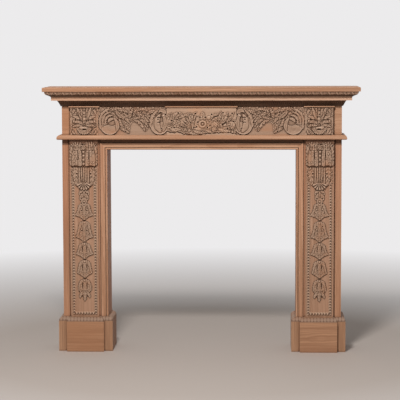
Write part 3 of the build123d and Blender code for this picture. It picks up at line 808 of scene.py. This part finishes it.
def carved_round(path, z, tile, pitch, reach, finish):
    """Carved lengths that follow a path, mitred where two meet. The face is on the path's left."""
    corners = [Vector((x, y, z)) for x, y in path]
    ways = [(b - a).normalized() for a, b in zip(corners[:-1], corners[1:])]
    runs = []
    for k, way in enumerate(ways):
        start, end, mitres = corners[k], corners[k + 1], []
        if k > 0:
            mitres.append((start, -(ways[k - 1] + way)))
            start = start - way * reach
        if k < len(ways) - 1:
            mitres.append((end, way + ways[k + 1]))
            end = end + way * reach
        turn = (0, 0, math.atan2(-way.y, -way.x))
        runs.append(lay_run(tile, pitch, end, start, turn, finish, mitres))
    return runs


def upright_leaves(s, t):
    """Heights of a row of leaves with darts between them: s goes up the face, t along it."""
    across = np.abs(t - 0.5) * 2
    width = 0.86 * np.sqrt(np.clip(1 - ((s - 0.45) / 0.6) ** 2, 0, 1)) + 0.02
    leaf = 0.8 * np.sqrt(np.clip(1 - (across / width) ** 2, 0, 1))
    midrib = 0.7 * np.exp(-(across / 0.16) ** 2) * (across < width)
    return np.where(across < width, leaf - midrib, -0.8) * np.clip(np.minimum(s, 1 - s) * 12, 0.1, 1)


PLINTH_PITCH, PLINTH_CAP, PLINTH_OUT, CAP_NOSE = 16.0, 20.0, 22.0, 2.0
CAP_REACH, CAP_RISE = PLINTH_OUT - 1.2, PLINTH_CAP - CAP_NOSE - 0.6
cap_face = [(PLINTH_OUT - 1.5, 0), (CAP_REACH, CAP_NOSE)]
for k in range(1, 13):
    turn = math.pi / 2 * k / 12
    cap_face.append((CAP_REACH * math.cos(turn), CAP_NOSE + CAP_RISE * math.sin(turn)))
cap_tile = carved_tile("cap_tile", [(0, 0)], cap_face, upright_leaves, PLINTH_PITCH, 10)
dusty_pine = limed("dusty_carved_pine", "X", pale=(154, 124, 104), warm=(158, 114, 88), peak=(176, 146, 124))
for side in ("right", "left"):
    wing_low, wing_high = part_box(f"plinth_front_{side}")
    block_low, block_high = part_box(f"plinth_block_{side}")
    outs = sorted((abs(wing_low.x), abs(wing_high.x)))
    grow = PLINTH_OUT * MM
    inner, outer = outs[0] + grow, outs[1] - grow
    near, far = sorted((abs(block_low.x), abs(block_high.x)))
    near, far = near + grow, far - grow
    face, wing, rear = wing_high.y, wing_low.y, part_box(f"leg_outer_side_{side}")[1].y
    path = [(outer, rear), (outer, face), (far, face), (far, wing), (near, wing), (near, face),
            (inner, face), (inner, rear)]
    if side == "left":
        path = [(-x, y) for x, y in reversed(path)]
    runs = carved_round(path, block_high.z, cap_tile, PLINTH_PITCH, 1.6 * grow, dusty_pine)
    carved_lengths(f"plinth_leaf_moulding_{side}", runs, dusty_pine, f"plinth_moulding_{side}")

# Header: a box that joins the legs. Its frieze board shows between the carvings; the ends, floor,
# back rail and ribs are plain, and a rail and a soffit close it over the opening.
frieze_low, frieze_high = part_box("frieze_board")
header_tones = {"pale": (202, 156, 124), "dark": (150, 104, 74), "patch": (184, 128, 92)}
dress(pine("header_pine", "X", (frieze_high.y + 0.06, frieze_low.z + 0.08), **header_tones), "frieze_board")
# The lintel has a wider and stronger painted shade, and a painted shadow under the neck moulding.
dress(pine("lintel_pine", "X", (frieze_high.y + 0.06, frieze_low.z - 0.08), **header_tones,
           shade_reach=30 * MM, full_shade_at=0.48, painted_shadow_under=under_neck), "lintel_rail")
dress(pine("header_end_pine", "Y", (0.2, frieze_low.z + 0.05), pale=(184, 134, 100), dark=(132, 86, 58),
           patch=(160, 104, 72)), "header_end_left", "header_end_right")
dress(pine("soffit_pine", "X", (0.06, frieze_low.z - 0.1), pale=(176, 128, 98), dark=(128, 86, 60),
           patch=(152, 102, 74)), "lintel_soffit")
dress(raw_pine, "header_floor", "header_back_rail")
dress(raw_upright, "header_ribs", "frieze_dowels")

# Corner blocks: square blocks over the legs, carved with a cartouche of leaves over a ribbed bowl
# between two plain edges, each under a thin cap.
block = Carving(134, 135, 6.5)
block.band(0, 7.5, 0, 135, 12)
block.band(126.5, 134, 0, 135, 12)
block.band(7.5, 126.5, 4, 133, 9.6)
for side in (-1, 1):
    block.leaf(block.at(side, (56, 104), (52, 120), (36, 131)), 9, 6.6, 3)
    block.leaf(block.at(side, (8, 66), (30, 88), (57, 92)), 11, 7.6, 4)
    block.leaf(block.at(side, (6, 72), (22, 98), (34, 134)), 9, 8.4, vein=0.25)
    block.leaf(block.at(side, (10, 92), (12, 112), (16, 135)), 6, 7.4)
    block.leaf(block.at(side, (6, 52), (30, 72), (57, 58)), 11, 9.0, 4)
    block.leaf(block.at(side, (12, 46), (38, 50), (57, 38)), 9, 7.8, 4)
    block.leaf(block.at(side, (56, 24), (56, 8), (42, 5)), 8, 6.6, 2)
    block.pearl(block.middle + side * 50, 67, 6, 8.4)
    block.drill(*block.at(side, (43, 74), (44, 124)), radius=3.2)
    block.slit(block.at(side, (16, 69), (20, 72), (25, 77)), 2.8)
block.fan(block.middle, 41, 39, math.radians(196), math.radians(344), 11, 9.4)
block.leaf(block.at(1, (-17, 36), (0, 28), (17, 36)), 9, 8.6, vein=0.0, base=0.9)
block.slit(block.at(1, (-9, 30), (9, 30)), 3.0)
block.leaf(block.at(1, (0, 56), (0, 90), (0, 134)), 8, 9.6, vein=0.3, base=0.9)
block.ruffle(9, 90, 1.2, half=3.6, length=11)
block.pearl(block.middle + 1, 78, 9, 10.2)
block.drill(*block.at(1, (0, 117), (-1, 99), (0, 56)), radius=3.4)
block.slit(block.at(1, (-11, 25), (0, 28), (11, 25)), 2.2)
block.by_hand(7)
place_pair("corner_block_leaves", "corner_block", block, carved_pine)
cap_low, cap_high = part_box("tablet_cap")
dress(pine("cap_pine", "X", (cap_high.y, cap_low.z - 0.06), pale=(206, 162, 130), dark=(156, 110, 80),
           patch=(186, 134, 102)), "corner_cap_left", "corner_cap_right", "tablet_cap")

# Centre tablet: a long block with a plain ground above a festoon of mixed flowers and leaves:
# a round rosette in the middle, a palm fan, daisies, curled leaves and ridged discs.
tablet = Carving(334, 135, 12.0)
mass = [(0, 20), (30, 14), (56, 18), (80, 8), (126, 2), (150, 3), (186, 10), (240, 13), (300, 16), (334, 8)]
crown = [(0, 66), (28, 100), (60, 112), (100, 104), (130, 98), (173, 108), (205, 92), (250, 98),
         (290, 112), (318, 108), (334, 84)]
foot_line = np.interp(tablet.X, *zip(*mass)) + 1.4 * np.sin(tablet.X / 3.4)
top_line = np.interp(tablet.X, *zip(*crown)) - 6 + 2.0 * np.sin(tablet.X / 6.1)
inside_mass = (tablet.Z > foot_line) & (tablet.Z < top_line)
tablet.H[inside_mass] = 13.2
tablet.H[(tablet.Z <= foot_line) & (tablet.Z > foot_line - 5)] = 8.0
tablet.ground = 11.4  # the leaves are cut from just under the mass
for points, half, rise, lobes in (
        ([(10, 78), (4, 100), (30, 108)], 9, 4.4, 3),
        ([(30, 74), (36, 118), (76, 104)], 9, 5.0, 4),
        ([(60, 84), (92, 98), (122, 106)], 9, 5.0, 4),
        ([(104, 88), (126, 96), (146, 114)], 8, 5.4, 3),
        ([(16, 30), (44, 22), (74, 30)], 12, 5.0, 5),
        ([(70, 34), (92, 14), (128, 8)], 11, 4.8, 5),
        ([(128, 24), (150, 6), (188, 14)], 10, 5.2, 5),
        ([(188, 24), (214, 12), (250, 20)], 9, 5.0, 5),
        ([(250, 30), (276, 14), (312, 22)], 10, 5.0, 5),
        ([(206, 70), (226, 104), (256, 100)], 9, 5.4, 4),
        ([(244, 60), (262, 92), (262, 118)], 10, 5.4, 4),
        ([(262, 50), (282, 70), (296, 112)], 10, 5.6, 5),
        ([(290, 62), (312, 84), (326, 112)], 9, 5.2, 4),
        ([(246, 44), (270, 52), (292, 46)], 9, 5.2, 3),
        ([(322, 30), (334, 20), (326, 8)], 8, 5.0, 2)):
    tablet.leaf(points, half, rise, lobes)
for angle in (168, 153, 138, 122, 107, 92, 78):
    turn = math.radians(angle)
    length = 46 + 26 * math.sin(turn)
    tablet.leaf([(124, 30), (124 + 0.6 * length * math.cos(turn), 34 + 0.8 * length * math.sin(turn)),
                     (126 + length * math.cos(turn), 28 + length * math.sin(turn))], 5.4, 6.0, vein=-0.1)
tablet.leaf([(174, 70), (173, 90), (173, 113)], 13, 5.6, 0)
for x, z, radius, petals in ((48, 56, 20, 6), (231, 49, 15, 7), (229, 27, 13, 6), (264, 47, 9, 5),
                             (91, 27, 10, 5), (108, 23, 8, 5)):
    tablet.rosette(x, z, radius, 6.0, petals)
tablet.target(12, 46, 13, 5.0, 1)
tablet.rosette(310, 46, 21, 5.8, 5)
tablet.ruffle(12, 420, 1.5, half=3.8, length=11)
tablet.target(173, 53.5, 21, 6.4, 1.5)
tablet.pearl(203, 84, 10, 5.6)
tablet.drill((56, 107), (138, 104), (144, 40), (208, 47), (246, 68), (271, 107), (315, 105), (268, 50),
             (274, 54), (280, 58), (286, 62), (160, 86), (186, 86), (24, 70), (70, 40), (150, 62),
             (196, 36), (292, 30), (322, 66), (216, 100), (262, 78), (36, 36), (116, 60), radius=4.0)
tablet.slit([(220, 83), (234, 90), (250, 94)], 3.0)
tablet.slit([(126, 38), (136, 34), (142, 40)], 2.0)
tablet.by_hand(11, 0.3)
tablet_low, tablet_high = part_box("centre_tablet")
tablet_pine = limed("tablet_carved_pine", "X", pale=(190, 156, 130), warm=(196, 148, 114),
                    peak=(206, 176, 152))
festoon = tablet.solid("centre_tablet_festoon", (tablet_low.x, tablet_high.y, tablet_low.z))
carved_piece("centre_tablet_festoon", festoon, tablet_pine, "centre_tablet")

# Frieze panels: between the tablet and each corner block, a running scroll of acanthus with a
# smooth round bowl at each end and leaves that arch between them.
panel = Carving(332, 135, 4.0)
panel.fill([(0, 60), (100, 56), (106, 34), (128, 14), (152, 12), (154, 44), (166, 64), (190, 58), (214, 42),
            (222, 20), (236, 20), (244, 44), (262, 34), (332, 34)],
           [(0, 128), (20, 131), (38, 114), (60, 119), (108, 133), (140, 117), (156, 118), (170, 132),
            (184, 120), (211, 133), (236, 124), (262, 122), (290, 130), (311, 133), (332, 126)], 2.8)
for points, half, rise, lobes in (
        ([(30, 112), (96, 142), (150, 104)], 13, 6.4, 6),
        ([(176, 108), (212, 140), (246, 112)], 11, 6.4, 5),
        ([(236, 100), (262, 120), (292, 112)], 13, 6.2, 4),
        ([(88, 116), (104, 84), (152, 74)], 15, 6.8, 4),
        ([(62, 112), (74, 96), (96, 76)], 12, 6.2, 4),
        ([(184, 108), (214, 92), (244, 62)], 15, 6.8, 5),
        ([(154, 82), (152, 104), (170, 130)], 12, 7.4, 5),
        ([(172, 92), (178, 112), (186, 126)], 8, 6.8, 4),
        ([(150, 74), (186, 74), (206, 92)], 10, 6.6, 4),
        ([(104, 76), (104, 54), (126, 36)], 11, 6.6, 5),
        ([(128, 80), (146, 72), (152, 54)], 9, 6.2, 4),
        ([(108, 36), (126, 26), (152, 10)], 10, 6.4, 4),
        ([(176, 70), (206, 66), (228, 18)], 11, 6.8, 5),
        ([(204, 74), (230, 66), (242, 38)], 10, 6.4, 4)):
    panel.leaf(points, half, rise, lobes)
panel.ruffle(14, 330, 1.3)
panel.crescent(57, 49, 47, 7.6, 66, 78, 33)
panel.leaf([(12, 30), (2, 116), (58, 126)], 10, 7.4, 4)
panel.leaf([(24, 44), (14, 108), (68, 112)], 8, 7.0, 3)
panel.leaf([(36, 58), (34, 98), (78, 96)], 8, 7.2, 3)
panel.leaf([(50, 64), (58, 82), (84, 78)], 7, 6.8)
panel.leaf([(90, 22), (102, 56), (76, 84)], 9, 6.8)
panel.crescent(297, 46, 43, 7.6, 302, 84, 22)
panel.leaf([(300, 18), (268, 58), (300, 100)], 15, 7.0, vein=0.1)
panel.leaf([(316, 20), (336, 66), (308, 108)], 9, 7.2)
panel.leaf([(254, 40), (252, 96), (292, 120)], 11, 7.2, 4)
panel.crescent(311, 109, 19, 8.0, 303, 102, 10)
for k in range(9):
    panel.pearl(14 + 36 * k, 131, 5, 4.4)
panel.drill((94, 121), (124, 108), (142, 100), (164, 88), (112, 79), (61, 101), (50, 113), (204, 117),
            (214, 113), (226, 98), (135, 54), (133, 18), (190, 60), (204, 52), (249, 62), (278, 92),
            (290, 76), (325, 100), (42, 70), (218, 34), (158, 118), (66, 86), (300, 64), (306, 32),
            radius=3.6)
panel.slit([(20, 50), (34, 44), (52, 56)], 2.6)
panel.slit([(284, 84), (294, 88), (304, 84)], 3.0)
panel.slit([(284, 60), (294, 66), (302, 56)], 2.4)
panel.slit([(290, 106), (306, 98), (322, 104)], 2.6)
panel.by_hand(13)
place_pair("frieze_panel_scrolls", "frieze_panel", panel, limed("panel_carved_pine", "X"))

# Neck moulding: a plain half round of waxed pine in three lengths, mitred round the foot of the
# header, where it covers the joint with the legs.
path_pine = {"front": ("X", (frieze_low.y, frieze_low.z - 0.05)), "left": ("Y", (-0.7, frieze_low.z - 0.05)),
             "right": ("Y", (0.7, frieze_low.z - 0.05))}
for place, (along, heart) in path_pine.items():
    dress(pine(f"neck_pine_{place}", along, heart, pale=(206, 160, 128), dark=(158, 112, 82),
               patch=(188, 138, 106)), f"neck_moulding_{place}")

# Bed moulding: a hollow of pine, finished much darker than the other pine, with a row of small pearls in a
# cut groove. It runs in three lengths, mitred round the head of the frieze.
BED_PITCH = 9.7
bed_face = [(5, 0), (5.8, 4), (7, 9.8)]
for k in range(1, 12):
    share = k / 12
    bed_face.append((7 + 13 * share ** 1.7, 9.8 + 15.2 * share))
bed_face += [(19.6, 25), (19.8, 28)]


def pearls_in_a_groove(s, t):
    """Heights of the hollow: a row of small pearls in a narrow cut groove."""
    across = np.abs(t - 0.5) * 2
    pearl = 1.5 * np.sqrt(np.clip(1 - (across / 0.8) ** 2 - ((s - 0.36) / 0.15) ** 2, 0, 1))
    return np.where(pearl > 0, pearl, -1.0 * (np.abs(s - 0.36) < 0.14))


bed_tile = carved_tile("bed_tile", [(0, 28), (0, 0)], bed_face, pearls_in_a_groove, BED_PITCH, 8)
bed_pine = limed("bed_moulding_pine", "X", pale=(84, 58, 41), dark=(40, 26, 17), warm=(92, 60, 42),
                 peak=(112, 80, 58))
header_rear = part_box("header_end_left")[1].y
header_corners = [(frieze_high.x, header_rear), (frieze_high.x, frieze_low.y),
                  (frieze_low.x, frieze_low.y), (frieze_low.x, header_rear)]
bed_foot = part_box("bed_moulding_front")[0].z
for place, run in zip(("right", "front", "left"),
                      carved_round(header_corners, bed_foot, bed_tile, BED_PITCH, 30 * MM, bed_pine)):
    carved_lengths(f"carved_bed_moulding_{place}", [run], bed_pine, f"bed_moulding_{place}")

# Corona: a flat board laid on the header over the bed moulding. It is the plainest band of the front, of
# planed and waxed pine. Its finish is paler than the other boards: painted light that makes up for the shade
# of the shelf over it.
corona_low, corona_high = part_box("corona_board")
dress(pine("corona_pine", "X", (corona_high.y - 0.1, corona_low.z - 0.04), pale=(226, 186, 158),
           dark=(178, 134, 104), patch=(208, 160, 128)), "corona_board")

# Ovolo under the shelf: a round moulding in three lengths, carved by hand with small uneven
# leaves over a deep cut foot, and mitred at the corners.
OVOLO_PITCH = 37.0
ovolo_face = []
for k in range(15):
    share = k / 14
    ovolo_face.append((48.4 + 27 * math.sin(share * math.pi / 2) ** 1.15, 24 * share ** 1.25))
ovolo_face.append((75.8, 26))


def uneven_leaves(s, t):
    """Heights of small uneven leaves along the top of the round, over a deep cut foot."""
    uneven = 0.35 * np.sin(2 * np.pi * t) + 0.3 * np.sin(6 * np.pi * t + 1)
    leaves = np.abs(np.cos(np.pi * (5 * t + uneven + 0.5 * np.sin(5 * s) * np.cos(4 * np.pi * t)))) ** 0.6
    leaves *= 0.75 + 0.25 * np.sin(4 * np.pi * t + 5 * s)
    veins = np.cos(2 * np.pi * (9 * t - 2.5 * s))
    upper = np.clip((s - 0.3) * 4, 0, 1)
    height = 3.4 * leaves * (0.35 + 0.65 * upper) + 0.5 * veins - 3.2 + 1.2 * upper
    return height * np.clip(np.minimum(s * 20, (1 - s) * 10), 0.05, 1)


ovolo_tile = carved_tile("ovolo_tile", [(20, 26), (20, 0)], ovolo_face, uneven_leaves, OVOLO_PITCH, 30)
ovolo_pine = limed("ovolo_carved_pine", "X", pale=(232, 192, 164), dark=(76, 50, 33), peak=(240, 204, 176))
ovolo_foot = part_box("shelf_ovolo_front")[0].z
for place, run in zip(("right", "front", "left"),
                      carved_round(header_corners, ovolo_foot, ovolo_tile, OVOLO_PITCH, 90 * MM, ovolo_pine)):
    carved_lengths(f"carved_ovolo_{place}", [run], ovolo_pine, f"shelf_ovolo_{place}")

# Shelf: one wide board of waxed pine with a softly rounded edge, which takes most of the wear.
# Rough packing rails under it hold it off the corona.
shelf_low, shelf_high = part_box("mantel_shelf")
dress(pine("shelf_pine", "X", (shelf_high.y - 0.12, shelf_low.z - 0.09), pale=(204, 158, 126),
           dark=(148, 102, 72), patch=(184, 132, 98)), "mantel_shelf")
dress(raw_pine, "shelf_packing_rails")


# Room for the picture: a pale floor that fades into a white backdrop, one soft light from above
# and in front, and a faint fill all round. The backdrop is only seen and lights nothing.
BACKDROP = (236, 235, 236)
FLOOR_CORNERS = ((-1, -1), (1, -1), (1, 1), (-1, 1))
FLOOR_REACH, FADE_FROM, FADE_TO = 14.0, 1.1, 4.0


def seen_share(tree):
    """One where the eye meets a surface, straight on or in gloss or glass, and nought for its light."""
    rays = add(tree, "ShaderNodeLightPath").outputs
    seen = add(tree, "ShaderNodeMath", {0: rays["Is Camera Ray"], 1: rays["Is Glossy Ray"]},
               operation="MAXIMUM").outputs["Value"]
    return add(tree, "ShaderNodeMath", {0: seen, 1: rays["Is Transmission Ray"]},
               operation="MAXIMUM").outputs["Value"]


floor_mesh = bpy.data.meshes.new("floor")
floor_mesh.from_pydata([(x * FLOOR_REACH, y * FLOOR_REACH, 0) for x, y in FLOOR_CORNERS],
                       [], [(0, 1, 2, 3)])
floor = put("floor", floor_mesh)
floor_paint, floor_tree, floor_shader = new_finish("pale_floor")
floor_shader.inputs["Base Color"].default_value = paint(191, 179, 170)
floor_shader.inputs["Roughness"].default_value = 0.8
floor_place = add(floor_tree, "ShaderNodeTexCoord").outputs["Object"]
away = add(floor_tree, "ShaderNodeVectorMath", {0: floor_place}, operation="LENGTH").outputs["Value"]
white = add(floor_tree, "ShaderNodeEmission", {"Color": paint(*BACKDROP), "Strength": 1.0})
far_off = add(floor_tree, "ShaderNodeMath", {0: remap(floor_tree, away, FADE_FROM, FADE_TO),
                                             1: seen_share(floor_tree)}, operation="MULTIPLY")
fade = add(floor_tree, "ShaderNodeMixShader", {0: far_off.outputs["Value"]})
floor_tree.links.new(floor_shader.outputs["BSDF"], fade.inputs[1])
floor_tree.links.new(white.outputs["Emission"], fade.inputs[2])
floor_tree.links.new(fade.outputs["Shader"], floor_tree.nodes["Material Output"].inputs["Surface"])
floor_mesh.materials.append(floor_paint)

world = bpy.data.worlds.new("studio")
bpy.context.scene.world = world
world.use_nodes = True
sky = world.node_tree
soft_fill = add(sky, "ShaderNodeBackground", {"Color": (1, 0.99, 0.97, 1), "Strength": 0.25})
backdrop = add(sky, "ShaderNodeBackground", {"Color": paint(*BACKDROP), "Strength": 1.0})
blend = add(sky, "ShaderNodeMixShader", {0: seen_share(sky), 1: soft_fill.outputs["Background"],
                                         2: backdrop.outputs["Background"]})
sky.links.new(blend.outputs["Shader"], sky.nodes["World Output"].inputs["Surface"])


def lamp(name, place, target, size, power):
    """A round soft light that faces a target."""
    data = bpy.data.lights.new(name, "AREA")
    data.shape = "DISK"
    data.size = size
    data.energy = power
    lit = put(name, data)
    lit.location = place
    lit.rotation_euler = (Vector(target) - Vector(place)).to_track_quat("-Z", "Y").to_euler()


lamp("window_light", place=(-0.45, -3.4, 3.95), target=(0, 0, 0.9), size=0.7, power=163)

# Camera: eight metres off, a little right of the middle and above the shelf, with a long lens.
# It looks slightly down, and its place and turns were fitted to the edges of the boards.
CAMERA_PLACE = (0.29658, -7.96323, 1.49762)
SENSOR, LENS = 36.0, 147.87
camera_data = bpy.data.cameras.new("camera")
camera_data.sensor_width = SENSOR
camera_data.lens = LENS
camera = put("camera", camera_data)
pitch, yaw, roll = 0.09561, 0.03848, 0.00255
ahead = Vector((-math.sin(yaw), math.cos(yaw), 0)) * math.cos(pitch) + Vector((0, 0, -math.sin(pitch)))
level = Vector((math.cos(yaw), math.sin(yaw), 0))
dip = ahead.cross(level)
picture_right = math.cos(roll) * level + math.sin(roll) * dip
picture_down = -math.sin(roll) * level + math.cos(roll) * dip
axes = Matrix((picture_right, -picture_down, -ahead)).transposed().to_4x4()
camera.matrix_world = Matrix.Translation(CAMERA_PLACE) @ axes
bpy.context.scene.camera = camera
bpy.context.scene.view_settings.view_transform = "Standard"
